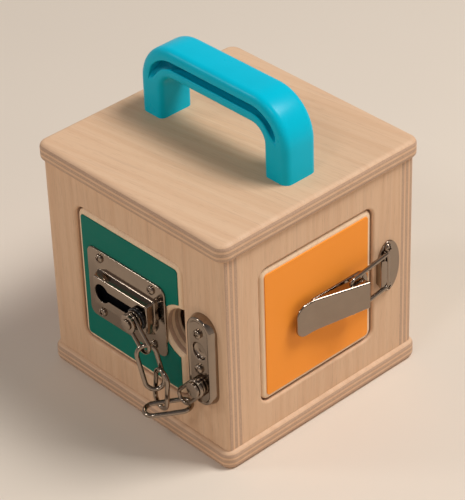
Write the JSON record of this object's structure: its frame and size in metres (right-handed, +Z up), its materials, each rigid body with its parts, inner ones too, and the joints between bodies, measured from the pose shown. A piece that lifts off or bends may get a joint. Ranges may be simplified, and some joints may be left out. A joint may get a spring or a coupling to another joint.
{
  "type": "wooden lock box",
  "caption": "Square plywood box with a small door in each wall, held by a door chain, a draw latch, a barrel bolt and a turn button, with a carry handle on top.",
  "frame": {"origin": "centre of the underside of the bottom board", "axes": "+Z up; the wall with the door chain faces -Y and the wall with the draw latch faces +X"},
  "size_m": [0.1717, 0.1936, 0.2025],
  "materials": {
    "birch_plywood": "sanded and clear lacquered",
    "beech": "sanded",
    "green_lacquer": "painted satin",
    "orange_lacquer": "painted satin",
    "yellow_lacquer": "painted satin",
    "red_lacquer": "painted satin",
    "handle_plastic": "moulded, satin gloss",
    "nickel_plated_steel": "bright nickel plate",
    "zinc_plated_steel": "bright zinc plate"
  },
  "bodies": {
    "box": {"bottom_board": "birch_plywood", "top_board": "birch_plywood", "front_wall": "birch_plywood", "right_wall": "birch_plywood", "back_wall": "birch_plywood", "left_wall": "birch_plywood", "front_door_stops": "beech", "right_door_stops": "beech", "back_door_stops": "beech", "left_door_stops": "beech", "wall_dowels": "beech", "top_dowels": "beech", "bottom_dowels": "beech", "chain_anchor": "nickel_plated_steel", "chain_anchor_stud": "nickel_plated_steel", "latch_keeper": "nickel_plated_steel", "bolt_keeper": "nickel_plated_steel", "chain_anchor_screws": "zinc_plated_steel", "latch_keeper_screws": "zinc_plated_steel", "bolt_keeper_screws": "zinc_plated_steel", "turn_button_screw": "zinc_plated_steel", "handle_screws": "zinc_plated_steel", "handle_washers": "zinc_plated_steel", "turn_button_washer": "zinc_plated_steel", "front_door_pins": "zinc_plated_steel", "right_door_pins": "zinc_plated_steel", "back_door_pins": "zinc_plated_steel", "left_door_pins": "zinc_plated_steel", "handle": "handle_plastic"},
    "front_door": {"front_door_board": "birch_plywood", "front_door_face": "green_lacquer", "chain_track": "nickel_plated_steel", "chain_track_screws": "zinc_plated_steel"},
    "right_door": {"right_door_board": "birch_plywood", "right_door_face": "orange_lacquer", "latch_base": "nickel_plated_steel", "latch_base_screws": "zinc_plated_steel", "latch_pin": "nickel_plated_steel"},
    "back_door": {"back_door_board": "birch_plywood", "back_door_face": "yellow_lacquer", "bolt_base": "nickel_plated_steel", "bolt_base_screws": "zinc_plated_steel"},
    "left_door": {"left_door_board": "birch_plywood", "left_door_face": "red_lacquer"},
    "chain_button": {"chain_button": "nickel_plated_steel"},
    "button_strap": {"button_strap": "nickel_plated_steel"},
    "chain_link_first": {"chain_link_first": "nickel_plated_steel"},
    "chain_link_second": {"chain_link_second": "nickel_plated_steel"},
    "chain_link_third": {"chain_link_third": "nickel_plated_steel"},
    "anchor_strap": {"anchor_strap": "nickel_plated_steel"},
    "latch_lever": {"latch_lever": "nickel_plated_steel"},
    "latch_bail": {"latch_bail": "nickel_plated_steel"},
    "sliding_bolt": {"sliding_bolt": "nickel_plated_steel"},
    "turn_button": {"turn_button": "beech"}
  },
  "joints": [
    {"name": "front_door_hinge", "type": "hinge", "parent": "box", "child": "front_door", "pos_m": [-0.0387, -0.069, 0.077], "axis": [0, 0, -1], "range_deg": [0, 95]},
    {"name": "right_door_hinge", "type": "hinge", "parent": "box", "child": "right_door", "pos_m": [0.069, -0.0387, 0.077], "axis": [0, 0, -1], "range_deg": [0, 110]},
    {"name": "back_door_hinge", "type": "hinge", "parent": "box", "child": "back_door", "pos_m": [0.0387, 0.069, 0.077], "axis": [0, 0, -1], "range_deg": [0, 110]},
    {"name": "left_door_hinge", "type": "hinge", "parent": "box", "child": "left_door", "pos_m": [-0.069, 0.0387, 0.077], "axis": [0, 0, -1], "range_deg": [0, 110]},
    {"name": "chain_button_slide", "type": "slide", "parent": "front_door", "child": "chain_button", "axis": [1, 0, 0], "range_m": [-0.0323, 0]},
    {"name": "button_strap_swing", "type": "hinge", "parent": "chain_button", "child": "button_strap", "pos_m": [0.0108, -0.0875, 0.077], "axis": [0, 1, 0], "range_deg": [0, 8]},
    {"name": "chain_link_first_swing", "type": "hinge", "parent": "button_strap", "child": "chain_link_first", "pos_m": [0.02087, -0.0875, 0.06562], "axis": [-1, 0, 0], "range_deg": [0, 10]},
    {"name": "chain_link_second_swing", "type": "hinge", "parent": "chain_link_first", "child": "chain_link_second", "pos_m": [0.03017, -0.0875, 0.04006], "axis": [0.66, 0.7513, 0], "range_deg": [-1.5, 4]},
    {"name": "chain_link_third_swing", "type": "hinge", "parent": "chain_link_second", "child": "chain_link_third", "pos_m": [0.03363, -0.08689, 0.03211], "axis": [0.66, 0.7513, 0], "range_deg": [0, 15]},
    {"name": "anchor_strap_swing", "type": "hinge", "parent": "box", "child": "anchor_strap", "pos_m": [0.05825, -0.083, 0.0535], "axis": [0, 1, 0], "range_deg": [0, 10]},
    {"name": "latch_lever_pivot", "type": "hinge", "parent": "right_door", "child": "latch_lever", "pos_m": [0.0835, 0.0225, 0.0765], "axis": [0, 0, 1], "range_deg": [0, 105]},
    {"name": "latch_bail_pivot", "type": "hinge", "parent": "latch_lever", "child": "latch_bail", "pos_m": [0.0825, 0.016, 0.0765], "axis": [0, 0, 1], "range_deg": [-136.5, 0]},
    {"name": "bolt_slide", "type": "slide", "parent": "back_door", "child": "sliding_bolt", "axis": [-1, 0, 0], "range_m": [0, 0.019]},
    {"name": "turn_button_pivot", "type": "hinge", "parent": "box", "child": "turn_button", "pos_m": [-0.0785, -0.054, 0.103], "axis": [-1, 0, 0], "range_deg": [0, 90]}
  ],
  "couplings": [
    {"joint": "latch_bail_pivot", "follows": "latch_lever_pivot", "ratio": -1.3}
  ]
}
